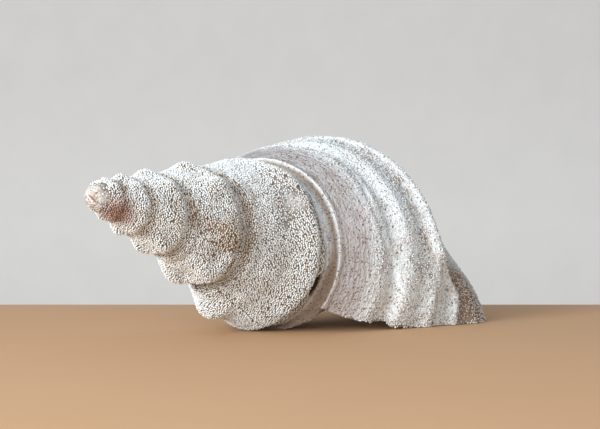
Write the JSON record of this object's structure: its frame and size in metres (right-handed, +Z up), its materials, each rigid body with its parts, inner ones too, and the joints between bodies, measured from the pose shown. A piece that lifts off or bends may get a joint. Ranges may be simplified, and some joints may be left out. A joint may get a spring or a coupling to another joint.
{
  "type": "horse conch shell",
  "caption": "Large worn spiral sea shell with knobbed spire, corded last whorl and open mouth, lying on its opening as an ornament.",
  "frame": {"origin": "centre of the bounding box on the surface that the shell rests on", "axes": "+Z up; +X along the coiling axis seen from above, from the apex towards the canal; +Y away from the outer lip"},
  "size_m": [0.213, 0.0852, 0.0668],
  "materials": {
    "chalky_shell": "worn, chalky and matt, with a beaded crust on the spire"
  },
  "bodies": {
    "root": {"shell": "chalky_shell"}
  },
  "joints": []
}
